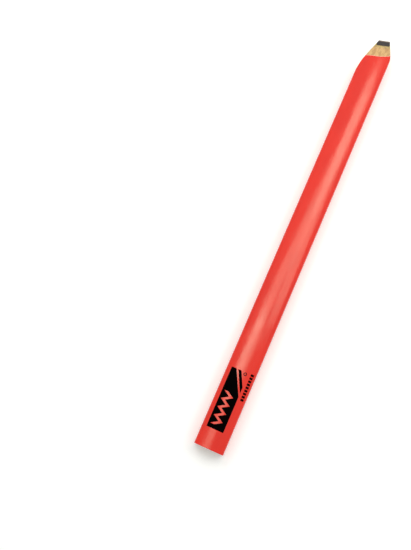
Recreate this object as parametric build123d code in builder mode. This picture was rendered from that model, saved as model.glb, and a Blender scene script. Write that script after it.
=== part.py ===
from build123d import *
import os
from math import cos, radians, sin, sqrt

# A flat carpenter's pencil, sharpened to a chisel point with a knife.
# Millimetres. +X runs along the barrel to the point, +Y across it, +Z up out of the plain broad face.
# The origin is under the middle of the pencil, on the surface that it lies on.

# Barrel
LENGTH = 178.5
WIDTH = 11.5
THICKNESS = 6.5
CROWN_RISE = 0.42  # how far each broad face bulges in the middle
LAND_DEPTH = 0.028  # the very top of each bulge is flat by this much, so that the barrel lies still
SHOULDER_RADIUS = 1.4
RED_COAT = 0.12
GROUND_COAT = 0.10
COATS = RED_COAT + GROUND_COAT

# Core, glued between two grooved slats
LEAD_WIDTH = 5.3
LEAD_THICKNESS = 2.1
LEAD_CORNER_RADIUS = 0.3
LEAD_OFFSET = -0.6  # the groove sits slightly off the middle of the slat
BOND_FILM = 0.06
GLUE_LINE = 0.08

AXIS_HEIGHT = THICKNESS / 2
BUTT_X = -LENGTH / 2
TIP_X = LENGTH / 2
CROWN_RADIUS = (WIDTH / 2) ** 2 / (2 * CROWN_RISE) + CROWN_RISE / 2
SECTION_PLANE = Plane(origin=(BUTT_X, 0, AXIS_HEIGHT), x_dir=(0, 1, 0), z_dir=(1, 0, 0))

# Flats left by the knife, as (slope to the axis, turn about the axis from straight up towards +Y,
# distance from the axis at the tip). Angles in degrees. The chisel edge runs a little askew.
KNIFE_STROKES = {
    "top_middle": (17.7, 4.4, -0.09),
    "top_left": (17.2, 9.0, 0.10),
    "bottom_middle": (17.2, 176.0, -0.05),
    "bottom_left": (17.0, 170.0, 0.15),
    "bottom_right": (17.2, -178.0, 0.18),
    "left_start": (9.0, 88.0, 2.93),
    "left_finish": (15.5, 85.0, 1.42),
    "right_side": (19.0, -85.0, 2.66),
    "worn_edge": (76.7, 90.0, -2.66),
}

# Stamped marks. Each is a thin foil pressed flush into the coat.
MARK_DEPTH = 0.04
MARK_REACH = 1.2  # deep enough to pass through the crowned face at its edges

# Black panel near the butt. One corner is cut off on a slant, with a stripe beside the slant.
PANEL_LENGTH = 23.3
PANEL_WIDTH = 6.6
PANEL_START = BUTT_X + 7.3
PANEL_OFFSET = 0.7
SLANT_START = 14.0
FAR_END_WIDTH = 1.9
SLANT_GAP = 0.6
SLANT_STRIPE = 1.1
TEETH = 8
TOOTH_RUN = 1.6
TOOTH_RISE = 2.6
TOOTH_LINE = 0.85
TEETH_START = PANEL_START + 1.6
TEETH_OFFSET = 1.1

# Small black marks beside the panel
SIDE_DASHES = 9
SIDE_DASH_LENGTH = 0.85
SIDE_DASH_WIDTH = 1.2
SIDE_DASH_PITCH = 1.2
SIDE_DASH_OFFSET = -4.2
SIDE_DASH_X = BUTT_X + 25.6
SPOT_X = BUTT_X + 29.9
SPOT_OFFSET = -1.6
SPOT_RADIUS = 0.65
SPOT_HOLE_RADIUS = 0.35

# Marks on the underside
EMBLEM_X = 64.0
EMBLEM_RADIUS = 1.5
EMBLEM_LINE = 0.35
EMBLEM_DIAMOND = 1.2
CHEVRONS = 6
CHEVRON_PITCH = 2.6
CHEVRON_SIZE = 2.6
CHEVRON_LINE = 0.55
LOZENGES = 2
LOZENGE_PITCH = 2.6
LOZENGE_X = 42.5
LOZENGE_SIZE = 1.7
BAND_X = 20.7
BAND_LENGTH = 20.0
BAND_WIDTH = 2.7
BAND_LINE = 0.3
BAND_DOTS = 9
BAND_DOT_RADIUS = 0.4
DIMPLES = 6
DIMPLE_X = -4.5
DIMPLE_PITCH = 1.9
DIMPLE_LENGTH = 1.0
DIMPLE_WIDTH = 2.2
DIMPLE_DEPTH = 0.06
BARS_X = -36.8
BARS = 26
BAR_PITCH = 1.4
BAR_WIDTH = 0.7
BAR_LENGTH = 3.5
CAPTION_DASHES = 22
CAPTION_PITCH = 1.55
CAPTION_LENGTH = 0.9
CAPTION_WIDTH = 1.1
CAPTION_GAP = 0.5


def barrel_section(inset):
    """Outline of the barrel, shrunk evenly by inset: crowned faces, flat sides, round shoulders."""
    half_width = WIDTH / 2 - inset
    crown_height = THICKNESS / 2 + LAND_DEPTH - inset
    crown_centre = THICKNESS / 2 + LAND_DEPTH - CROWN_RADIUS
    edge_height = crown_centre + sqrt((CROWN_RADIUS - inset) ** 2 - half_width**2)
    with BuildSketch(mode=Mode.PRIVATE) as section:
        with BuildLine():
            ThreePointArc((-half_width, edge_height), (0, crown_height), (half_width, edge_height))
            Line((half_width, edge_height), (half_width, -edge_height))
            ThreePointArc((half_width, -edge_height), (0, -crown_height), (-half_width, -edge_height))
            Line((-half_width, -edge_height), (-half_width, edge_height))
        make_face()
        Rectangle(WIDTH, THICKNESS - 2 * inset, mode=Mode.INTERSECT)
        corners = section.vertices().group_by(Axis.X)
        fillet(corners[0] + corners[-1], SHOULDER_RADIUS - inset)
    return section.sketch


def stroke_plane(slope, turn, reach):
    """Plane of one knife stroke. Its normal points away from the wood that is left."""
    lean = radians(slope)
    side = radians(turn)
    outward = (sin(lean), cos(lean) * sin(side), cos(lean) * cos(side))
    at_tip = (TIP_X, reach * sin(side), AXIS_HEIGHT + reach * cos(side))
    return Plane(origin=at_tip, z_dir=outward)


def finish(piece, label):
    """Name a finished piece and write its file."""
    piece.part.label = label
    export_step(piece.part, f"parts/{label}.step")


os.makedirs("parts", exist_ok=True)

# What the knife leaves standing. Every full-length layer is cut to this one shape.
with BuildPart() as whittled_point:
    with Locations((0, 0, AXIS_HEIGHT)):
        Box(LENGTH, 2 * WIDTH, 2 * THICKNESS)
    for stroke in KNIFE_STROKES.values():
        split(bisect_by=stroke_plane(*stroke), keep=Keep.BOTTOM)

# Skin in which the stamped foils lie
with BuildPart() as stamped_skin:
    with BuildSketch(SECTION_PLANE):
        add(barrel_section(0))
        add(barrel_section(MARK_DEPTH), mode=Mode.SUBTRACT)
    extrude(amount=LENGTH)

TOP_MARKS = Plane.XY.offset(THICKNESS)
UNDER_MARKS = Plane(origin=(0, 0, 0), x_dir=(1, 0, 0), z_dir=(0, 0, -1))

# Black panel near the butt, with an open saw-tooth line and a stripe along its slanted corner
panel_near = PANEL_START
panel_far = PANEL_START + PANEL_LENGTH
panel_left = PANEL_OFFSET + PANEL_WIDTH / 2
panel_right = PANEL_OFFSET - PANEL_WIDTH / 2
slant_near = Vector(PANEL_START + SLANT_START, panel_right)
slant_far = Vector(panel_far, panel_left - FAR_END_WIDTH)
across_slant = (slant_far - slant_near).normalized().rotate(Axis.Z, -90)
saw_teeth = [
    (TEETH_START + tooth * TOOTH_RUN, TEETH_OFFSET + TOOTH_RISE / 2 * (-1) ** tooth)
    for tooth in range(TEETH + 1)
]
with BuildPart() as black_panel:
    with BuildSketch(TOP_MARKS):
        Polygon(
            (panel_near, panel_right),
            slant_near,
            slant_far,
            (panel_far, panel_left),
            (panel_near, panel_left),
            align=None,
        )
        Polygon(
            slant_near + across_slant * SLANT_GAP,
            slant_near + across_slant * (SLANT_GAP + SLANT_STRIPE),
            slant_far + across_slant * (SLANT_GAP + SLANT_STRIPE),
            slant_far + across_slant * SLANT_GAP,
            align=None,
        )
        with Locations((panel_far + SLANT_STRIPE, PANEL_OFFSET)):
            Rectangle(2 * SLANT_STRIPE, 2 * PANEL_WIDTH, mode=Mode.SUBTRACT)
        with Locations((PANEL_START, panel_right - PANEL_WIDTH / 2)):
            Rectangle(2 * PANEL_LENGTH, PANEL_WIDTH, mode=Mode.SUBTRACT)
        with BuildLine():
            Polyline(*saw_teeth)
        trace(line_width=TOOTH_LINE, mode=Mode.SUBTRACT)
    extrude(amount=-MARK_REACH)
    add(stamped_skin.part, mode=Mode.INTERSECT)
finish(black_panel, "black_panel_print")

# Row of small black dashes and a ringed spot beside the panel
with BuildPart() as side_dashes:
    with BuildSketch(TOP_MARKS):
        with Locations((SIDE_DASH_X, SIDE_DASH_OFFSET)):
            with GridLocations(SIDE_DASH_PITCH, 1, SIDE_DASHES, 1):
                Rectangle(SIDE_DASH_LENGTH, SIDE_DASH_WIDTH)
        with Locations((SPOT_X, SPOT_OFFSET)):
            Circle(SPOT_RADIUS)
            Circle(SPOT_HOLE_RADIUS, mode=Mode.SUBTRACT)
    extrude(amount=-MARK_REACH)
    add(stamped_skin.part, mode=Mode.INTERSECT)
finish(side_dashes, "black_dash_print")

# Gold emblem on the underside: a ringed diamond and a run of chevrons
with BuildPart() as foil_emblem:
    with BuildSketch(UNDER_MARKS):
        with Locations((EMBLEM_X, 0)):
            Circle(EMBLEM_RADIUS)
            Circle(EMBLEM_RADIUS - EMBLEM_LINE, mode=Mode.SUBTRACT)
            Rectangle(EMBLEM_DIAMOND, EMBLEM_DIAMOND, rotation=45)
        with Locations((EMBLEM_X - EMBLEM_RADIUS - CHEVRON_PITCH * CHEVRONS / 2, 0)):
            with GridLocations(CHEVRON_PITCH, 1, CHEVRONS, 1):
                Triangle(a=CHEVRON_SIZE, B=60, C=60, rotation=-90)
        with Locations((EMBLEM_X - EMBLEM_RADIUS - CHEVRON_PITCH * CHEVRONS / 2 - CHEVRON_LINE, 0)):
            with GridLocations(CHEVRON_PITCH, 1, CHEVRONS, 1):
                Triangle(a=CHEVRON_SIZE, B=60, C=60, rotation=-90, mode=Mode.SUBTRACT)
    extrude(amount=-MARK_REACH)
    add(stamped_skin.part, mode=Mode.INTERSECT)
finish(foil_emblem, "foil_emblem_mark")

# Two gold lozenges behind the emblem
with BuildPart() as foil_lozenges:
    with BuildSketch(UNDER_MARKS):
        with Locations((LOZENGE_X, 0)):
            with GridLocations(LOZENGE_PITCH, 1, LOZENGES, 1):
                Rectangle(LOZENGE_SIZE, LOZENGE_SIZE, rotation=45)
    extrude(amount=-MARK_REACH)
    add(stamped_skin.part, mode=Mode.INTERSECT)
finish(foil_lozenges, "foil_lozenge_mark")

# Long gold band: a thin frame round a row of dots
with BuildPart() as foil_band:
    with BuildSketch(UNDER_MARKS):
        with Locations((BAND_X, 0)):
            Rectangle(BAND_LENGTH, BAND_WIDTH)
            Rectangle(BAND_LENGTH - 2 * BAND_LINE, BAND_WIDTH - 2 * BAND_LINE, mode=Mode.SUBTRACT)
            with GridLocations(BAND_LENGTH / (BAND_DOTS + 1), 1, BAND_DOTS, 1):
                Circle(BAND_DOT_RADIUS)
    extrude(amount=-MARK_REACH)
    add(stamped_skin.part, mode=Mode.INTERSECT)
finish(foil_band, "foil_band_mark")

# Block of even dark bars
with BuildPart() as bar_print:
    with BuildSketch(UNDER_MARKS):
        with Locations((BARS_X, 0)):
            with GridLocations(BAR_PITCH, 1, BARS, 1):
                Rectangle(BAR_WIDTH, BAR_LENGTH)
    extrude(amount=-MARK_REACH)
    add(stamped_skin.part, mode=Mode.INTERSECT)
finish(bar_print, "bar_block_print")

# One row of short dashes on each side of the bars
with BuildPart() as caption_print:
    with BuildSketch(UNDER_MARKS):
        with Locations((BARS_X, 0)):
            with GridLocations(CAPTION_PITCH, BAR_LENGTH + CAPTION_GAP + CAPTION_WIDTH, CAPTION_DASHES, 2):
                Rectangle(CAPTION_LENGTH, CAPTION_WIDTH)
    extrude(amount=-MARK_REACH)
    add(stamped_skin.part, mode=Mode.INTERSECT)
finish(caption_print, "caption_dash_print")

# Skin that the blind stamp presses down into dimples
with BuildPart() as blind_dimples:
    with BuildSketch(UNDER_MARKS):
        with Locations((DIMPLE_X, 0)):
            with GridLocations(DIMPLE_PITCH, 1, DIMPLES, 1):
                SlotOverall(DIMPLE_WIDTH, DIMPLE_LENGTH, rotation=90)
    extrude(amount=-MARK_REACH)
    with BuildSketch(SECTION_PLANE):
        add(barrel_section(DIMPLE_DEPTH))
    extrude(amount=LENGTH, mode=Mode.SUBTRACT)

# Red lacquer sleeve, pocketed for the foils
with BuildPart() as red_lacquer:
    with BuildSketch(SECTION_PLANE):
        add(barrel_section(0))
        add(barrel_section(RED_COAT), mode=Mode.SUBTRACT)
    extrude(amount=LENGTH)
    for mark in (black_panel, side_dashes, foil_emblem, foil_lozenges, foil_band, bar_print, caption_print):
        add(mark.part, mode=Mode.SUBTRACT)
    add(blind_dimples.part, mode=Mode.SUBTRACT)
    add(whittled_point.part, mode=Mode.INTERSECT)
finish(red_lacquer, "red_lacquer")

# Pale ground coat between the wood and the lacquer
with BuildPart() as ground_coat:
    with BuildSketch(SECTION_PLANE):
        add(barrel_section(RED_COAT))
        add(barrel_section(COATS), mode=Mode.SUBTRACT)
    extrude(amount=LENGTH)
    add(whittled_point.part, mode=Mode.INTERSECT)
finish(ground_coat, "ground_coat")

# Grooved slats, one above and one below the glue line
for label, side in (("slat_upper", 1), ("slat_lower", -1)):
    with BuildPart() as slat:
        with BuildSketch(SECTION_PLANE):
            add(barrel_section(COATS))
            with Locations((0, side * (THICKNESS + GLUE_LINE) / 2)):
                Rectangle(WIDTH, THICKNESS, mode=Mode.INTERSECT)
            with Locations((LEAD_OFFSET, 0)):
                RectangleRounded(
                    LEAD_WIDTH + 2 * BOND_FILM,
                    LEAD_THICKNESS + 2 * BOND_FILM,
                    LEAD_CORNER_RADIUS + BOND_FILM,
                    mode=Mode.SUBTRACT,
                )
        extrude(amount=LENGTH)
        add(whittled_point.part, mode=Mode.INTERSECT)
    finish(slat, label)

# Glue line between the slats, on each side of the core
for label, side in (("glue_line_left", 1), ("glue_line_right", -1)):
    bond_edge = LEAD_OFFSET + side * (LEAD_WIDTH / 2 + BOND_FILM)
    slat_edge = side * (WIDTH / 2 - COATS)
    with BuildPart() as glue_line:
        with BuildSketch(SECTION_PLANE):
            with Locations(((bond_edge + slat_edge) / 2, 0)):
                Rectangle(abs(slat_edge - bond_edge), GLUE_LINE)
        extrude(amount=LENGTH)
        add(whittled_point.part, mode=Mode.INTERSECT)
    finish(glue_line, label)

# Adhesive film that holds the core in its groove
with BuildPart() as lead_bond:
    with BuildSketch(SECTION_PLANE):
        with Locations((LEAD_OFFSET, 0)):
            RectangleRounded(
                LEAD_WIDTH + 2 * BOND_FILM,
                LEAD_THICKNESS + 2 * BOND_FILM,
                LEAD_CORNER_RADIUS + BOND_FILM,
            )
            RectangleRounded(LEAD_WIDTH, LEAD_THICKNESS, LEAD_CORNER_RADIUS, mode=Mode.SUBTRACT)
    extrude(amount=LENGTH)
    add(whittled_point.part, mode=Mode.INTERSECT)
finish(lead_bond, "lead_bond")

# Graphite core, cut to a chisel edge with a narrow worn land
with BuildPart() as graphite_lead:
    with BuildSketch(SECTION_PLANE):
        with Locations((LEAD_OFFSET, 0)):
            RectangleRounded(LEAD_WIDTH, LEAD_THICKNESS, LEAD_CORNER_RADIUS)
    extrude(amount=LENGTH)
    add(whittled_point.part, mode=Mode.INTERSECT)
finish(graphite_lead, "graphite_lead")
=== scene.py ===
"""A flat carpenter's pencil, lacquered red and sharpened to a chisel point with a knife.

Metres. +X runs along the barrel to the point, +Y across it, +Z up out of the plain broad face.
"""

import logging
import math
from dataclasses import dataclass
from enum import Enum
from typing import Callable, Sequence

import bmesh
import bpy
from mathutils import Matrix, Vector


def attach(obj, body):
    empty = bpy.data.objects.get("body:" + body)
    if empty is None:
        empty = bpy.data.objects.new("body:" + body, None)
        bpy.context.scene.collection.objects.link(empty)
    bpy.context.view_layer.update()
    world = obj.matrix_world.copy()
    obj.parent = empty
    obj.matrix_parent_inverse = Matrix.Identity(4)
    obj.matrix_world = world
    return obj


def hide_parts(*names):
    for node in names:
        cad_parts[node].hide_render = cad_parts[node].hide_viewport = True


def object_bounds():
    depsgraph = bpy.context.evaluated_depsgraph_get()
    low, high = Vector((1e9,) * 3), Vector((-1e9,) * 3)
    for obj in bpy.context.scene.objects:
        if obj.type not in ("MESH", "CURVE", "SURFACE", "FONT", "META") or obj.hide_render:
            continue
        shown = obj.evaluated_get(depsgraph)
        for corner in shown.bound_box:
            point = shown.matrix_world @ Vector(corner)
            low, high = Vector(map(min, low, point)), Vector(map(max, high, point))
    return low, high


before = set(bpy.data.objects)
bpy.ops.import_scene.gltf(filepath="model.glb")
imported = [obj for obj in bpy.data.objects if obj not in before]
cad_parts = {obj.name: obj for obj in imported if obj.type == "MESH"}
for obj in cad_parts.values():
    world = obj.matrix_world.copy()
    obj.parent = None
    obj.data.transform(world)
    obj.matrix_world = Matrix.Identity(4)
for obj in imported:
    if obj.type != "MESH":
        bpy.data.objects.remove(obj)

CAD_BOX = [list(corner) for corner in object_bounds()]
LOG = logging.getLogger("pencil")

MM = 0.001
WELD = 1e-8  # metres: closest points that a cut keeps apart
DOUBLES = 1e-7  # metres: points nearer than this are one
NEAR = 1e-3  # millimetres: tolerance for picking by place
SMOOTH_ANGLE = 4.3  # degrees: steepest edge that is shaded smoothly
Colour = tuple[float, float, float]
Point = tuple[float, float]
Place = Callable[[Vector], bool]


# ---------------------------------------------------------------------------------------------
# Sizes of the barrel
# ---------------------------------------------------------------------------------------------


@dataclass(frozen=True)
class BarrelForm:
    """Sizes of the barrel's section and of the knife's strokes, in millimetres and degrees."""

    butt_x: float
    tip_x: float
    axis_z: float
    width: float
    thickness: float
    crown_rise: float = 0.42
    shoulder_radius: float = 1.4
    red_coat: float = 0.12
    ground_coat: float = 0.10
    lead_width: float = 5.3
    lead_thickness: float = 2.1
    lead_corner: float = 0.3
    lead_offset: float = -0.6
    bond_film: float = 0.06
    glue_line: float = 0.08
    print_film: float = 0.012
    strokes: tuple[tuple[float, float, float], ...] = (
        (17.7, 4.4, -0.09),
        (17.2, 9.0, 0.10),
        (17.2, 176.0, -0.05),
        (17.0, 170.0, 0.15),
        (17.2, -178.0, 0.18),
        (9.0, 88.0, 2.93),
        (15.5, 85.0, 1.42),
        (19.0, -85.0, 2.66),
        (76.7, 90.0, -2.66),
    )

    @property
    def coats(self) -> float:
        """Thickness of the lacquer and the ground coat together."""
        return self.red_coat + self.ground_coat

    @property
    def crown_radius(self) -> float:
        """Radius of the gently crowned broad faces."""
        half = self.width / 2
        return half**2 / (2 * self.crown_rise) + self.crown_rise / 2

    def crown_height(self, across: float, inset: float) -> float:
        """Height of the crowned face above the axis.

        Args:
            across: Distance from the middle of the face.
            inset: How far the surface lies below the finished one.

        Returns:
            Height above the axis, in millimetres.
        """
        centre = self.thickness / 2 - self.crown_radius
        return centre + math.sqrt((self.crown_radius - inset) ** 2 - across**2)

    def fillet(self) -> tuple[float, float, float]:
        """Find where the shoulder's arc meets the crowned face.

        Returns:
            The arc's middle across and above the axis, and the crown's half angle in degrees.
        """
        across = self.width / 2 - self.shoulder_radius
        reach = self.crown_radius - self.shoulder_radius
        centre = self.thickness / 2 - self.crown_radius
        half_angle = math.degrees(math.asin(across / reach))
        return across, centre + math.sqrt(reach**2 - across**2), half_angle

    def skin_depth(self, across: float, above: float) -> float:
        """Measure how far a point of the section lies below the barrel's surface.

        Args:
            across: Distance from the middle, across the barrel.
            above: Distance from the axis, upwards.

        Returns:
            Depth in millimetres.
        """
        corner_across, corner_above, _ = self.fillet()
        side, height = abs(across), abs(above)
        if side > corner_across and height > corner_above:
            return self.shoulder_radius - math.hypot(side - corner_across, height - corner_above)
        if side > corner_across:
            return self.width / 2 - side
        centre = self.thickness / 2 - self.crown_radius
        return self.crown_radius - math.hypot(side, height - centre)


def measured_form() -> BarrelForm:
    """Take the barrel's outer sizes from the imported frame.

    Returns:
        The form whose length, width and thickness are the frame's own.
    """
    low, high = CAD_BOX
    return BarrelForm(
        butt_x=low[0] / MM,
        tip_x=high[0] / MM,
        axis_z=(low[2] + high[2]) / 2 / MM,
        width=(high[1] - low[1]) / MM,
        thickness=(high[2] - low[2]) / MM,
    )


# ---------------------------------------------------------------------------------------------
# Bench: the mesh tools
# ---------------------------------------------------------------------------------------------


class Pick(Enum):
    """Which elements of a mesh a test of place picks."""

    VERTS = "verts"
    EDGES = "edges"
    FACES = "faces"


class Bench:
    """The hand tools that every piece is made with. One piece at a time is in edit mode."""

    @staticmethod
    def clear() -> None:
        """Leave edit mode and deselect everything."""
        if bpy.context.object and bpy.context.object.mode != "OBJECT":
            bpy.ops.object.mode_set(mode="OBJECT")
        bpy.ops.object.select_all(action="DESELECT")

    @staticmethod
    def edit(piece: bpy.types.Object) -> None:
        """Take one piece into edit mode.

        Args:
            piece: The piece to work on.
        """
        Bench.clear()
        piece.select_set(True)
        bpy.context.view_layer.objects.active = piece
        bpy.ops.object.mode_set(mode="EDIT")

    @staticmethod
    def pick(kind: Pick, test: Place) -> int:
        """Select the elements of the piece in edit mode whose middle passes a test.

        Args:
            kind: Which elements are picked.
            test: Says of a place, in millimetres, whether it is picked.

        Returns:
            How many elements were picked.
        """
        bpy.ops.mesh.select_mode(type=kind.name[:-1])
        bpy.ops.mesh.select_all(action="DESELECT")
        mesh = bpy.context.object.data
        cage = bmesh.from_edit_mesh(mesh)
        count = 0
        for element in getattr(cage, kind.value):
            if kind is Pick.VERTS:
                middle = element.co
            elif kind is Pick.EDGES:
                middle = (element.verts[0].co + element.verts[1].co) / 2
            else:
                middle = element.calc_center_median()
            if test(middle / MM):
                element.select = True
                count += 1
        cage.select_flush_mode()
        bmesh.update_edit_mesh(mesh)
        return count

    @staticmethod
    def pick_inward(outward: int) -> None:
        """Select the faces of the sheet in edit mode that look away from their own side.

        Args:
            outward: 1 if the sheet's outside looks up, -1 if it looks down.
        """
        bpy.ops.mesh.select_mode(type="FACE")
        bpy.ops.mesh.select_all(action="DESELECT")
        mesh = bpy.context.object.data
        cage = bmesh.from_edit_mesh(mesh)
        for patch in cage.faces:
            patch.select = patch.normal.z * outward < 0
        cage.select_flush_mode()
        bmesh.update_edit_mesh(mesh)

    @staticmethod
    def slice(place: Vector, normal: Vector, clear: bool = False, fill: bool = False) -> None:
        """Cut the selected faces with a plane.

        Args:
            place: A point of the plane, in millimetres.
            normal: The plane's normal, which points to the offcut.
            clear: Whether the offcut goes.
            fill: Whether the cut is closed with new faces.
        """
        bpy.ops.mesh.bisect(
            plane_co=place * MM, plane_no=normal, use_fill=fill, clear_outer=clear, threshold=WELD
        )

    @staticmethod
    def weld() -> None:
        """Merge doubled points of the piece in edit mode and turn its faces outwards."""
        bpy.ops.mesh.select_mode(type="VERT")
        bpy.ops.mesh.select_all(action="SELECT")
        bpy.ops.mesh.remove_doubles(threshold=DOUBLES)
        bpy.ops.mesh.normals_make_consistent(inside=False)

    @staticmethod
    def modify(piece: bpy.types.Object, kind: str, **settings: object) -> None:
        """Add a modifier to a piece and apply it.

        Args:
            piece: The piece to change.
            kind: The modifier's type.
            settings: The modifier's settings by name.
        """
        Bench.clear()
        piece.select_set(True)
        bpy.context.view_layer.objects.active = piece
        modifier = piece.modifiers.new(kind.lower(), kind)
        for name, value in settings.items():
            setattr(modifier, name, value)
        bpy.ops.object.modifier_apply(modifier=modifier.name)

    @staticmethod
    def soften(piece: bpy.types.Object, angle: float = SMOOTH_ANGLE) -> None:
        """Shade a piece smoothly across its shallow edges.

        Args:
            piece: The piece to shade.
            angle: The steepest edge that is shaded smoothly, in degrees.
        """
        Bench.clear()
        piece.select_set(True)
        bpy.context.view_layer.objects.active = piece
        bpy.ops.object.shade_smooth_by_angle(angle=math.radians(angle))

    @staticmethod
    def join(name: str, pieces: Sequence[bpy.types.Object]) -> bpy.types.Object:
        """Join several loose pieces into one.

        Args:
            name: Name of the joined piece.
            pieces: The pieces to join.

        Returns:
            The joined piece.
        """
        Bench.clear()
        for piece in pieces:
            piece.select_set(True)
        bpy.context.view_layer.objects.active = pieces[0]
        if len(pieces) > 1:
            bpy.ops.object.join()
        pieces[0].name = name
        return pieces[0]


class EdgeSweep:
    """A full-length edge carried round a section, which leaves the moulded surface behind it."""

    def __init__(self, name: str, form: BarrelForm, across: float, above: float) -> None:
        """Lay the first edge along the barrel.

        Args:
            name: Name of the piece.
            form: Sizes of the barrel.
            across: Where the edge starts across the barrel, in millimetres.
            above: Where it starts above the axis.
        """
        Bench.clear()
        length = (form.tip_x - form.butt_x) * MM
        bpy.ops.mesh.primitive_plane_add(size=length)
        self.piece = bpy.context.object
        self.piece.name = name
        self.form = form
        bpy.ops.object.mode_set(mode="EDIT")
        Bench.pick(Pick.VERTS, lambda place: place.y > 0)
        bpy.ops.mesh.delete(type="VERT")
        Bench.pick(Pick.VERTS, lambda place: True)
        middle = (form.tip_x + form.butt_x) / 2
        start = Vector((middle, across + length / 2 / MM, form.axis_z + above))
        bpy.ops.transform.translate(value=start * MM)

    def straight(self, across: float, up: float) -> "EdgeSweep":
        """Carry the edge along a straight run.

        Args:
            across: Distance towards +Y, in millimetres.
            up: Distance towards +Z.

        Returns:
            The same sweep, for the next run.
        """
        step = Vector((0, across, up)) * MM
        bpy.ops.mesh.extrude_edges_move(TRANSFORM_OT_translate={"value": step})
        return self

    def arc(self, across: float, above: float, degrees: float, steps: int) -> "EdgeSweep":
        """Carry the edge round an arc, clockwise as seen from the butt's side for a positive angle.

        Args:
            across: Middle of the arc across the barrel, in millimetres.
            above: Middle of the arc above the axis.
            degrees: Angle of the arc.
            steps: Number of flats that the arc is made of.

        Returns:
            The same sweep, for the next run.
        """
        bpy.ops.mesh.spin(
            steps=steps,
            angle=math.radians(degrees),
            center=Vector((0, across, self.form.axis_z + above)) * MM,
            axis=(1, 0, 0),
        )
        return self

    def wall(self, depth: float) -> bpy.types.Object:
        """Close the section and give the skin a wall that grows inwards.

        Args:
            depth: Thickness of the wall, in millimetres.

        Returns:
            The tube, cut square at both ends.
        """
        Bench.weld()
        Bench.clear()
        Bench.modify(
            self.piece, "SOLIDIFY", thickness=depth * MM, offset=-1, use_even_offset=True
        )
        return self.piece

    def cap(self) -> bpy.types.Object:
        """Close the section and both ends.

        Returns:
            The closed piece.
        """
        Bench.weld()
        for end in (self.form.butt_x, self.form.tip_x):
            Bench.pick(Pick.EDGES, lambda place: abs(place.x - end) < NEAR)
            bpy.ops.mesh.fill()
        Bench.weld()
        Bench.clear()
        return self.piece


class Knife:
    """The sharpening knife. Every full-length layer is cut by the same strokes."""

    spare = 5.0  # millimetres that the block reaches past the butt

    def __init__(self, form: BarrelForm) -> None:
        """Keep the barrel's sizes.

        Args:
            form: Sizes of the barrel.
        """
        self.form = form

    def plane(self, slope: float, turn: float, reach: float) -> tuple[Vector, Vector]:
        """Find the plane of one stroke.

        Args:
            slope: Angle to the barrel's axis, in degrees.
            turn: Direction that the flat faces, about the axis from straight up towards +Y.
            reach: Distance of the flat from the axis at the tip, in millimetres.

        Returns:
            A point of the plane, in millimetres, and its normal away from the wood.
        """
        lean, side = math.radians(slope), math.radians(turn)
        normal = Vector(
            (math.sin(lean), math.cos(lean) * math.sin(side), math.cos(lean) * math.cos(side))
        )
        place = Vector(
            (
                self.form.tip_x,
                reach * math.sin(side),
                self.form.axis_z + reach * math.cos(side),
            )
        )
        return place, normal

    def block(self) -> bpy.types.Object:
        """Whittle a plain block to the shape that the strokes leave.

        Returns:
            The block, which is wider, thicker and a little longer than the barrel.
        """
        form = self.form
        Bench.clear()
        bpy.ops.mesh.primitive_cube_add(size=1)
        block = bpy.context.object
        bpy.ops.object.mode_set(mode="EDIT")
        back = form.butt_x - self.spare
        size = Vector((form.tip_x - back, 2 * form.width, 2 * form.thickness)) * MM
        bpy.ops.transform.resize(value=size)
        middle = Vector(((form.tip_x + back) / 2, 0, form.axis_z)) * MM
        bpy.ops.transform.translate(value=middle)
        for stroke in form.strokes:
            bpy.ops.mesh.select_mode(type="FACE")
            bpy.ops.mesh.select_all(action="SELECT")
            place, normal = self.plane(*stroke)
            Bench.slice(place, normal, clear=True, fill=True)
        Bench.weld()
        Bench.clear()
        return block

    def sharpen(self, piece: bpy.types.Object) -> None:
        """Cut a layer to the point.

        Args:
            piece: The full-length layer.
        """
        block = self.block()
        Bench.modify(piece, "BOOLEAN", object=block, operation="INTERSECT", solver="EXACT")
        bpy.data.objects.remove(block)


# ---------------------------------------------------------------------------------------------
# Finishes
# ---------------------------------------------------------------------------------------------


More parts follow.
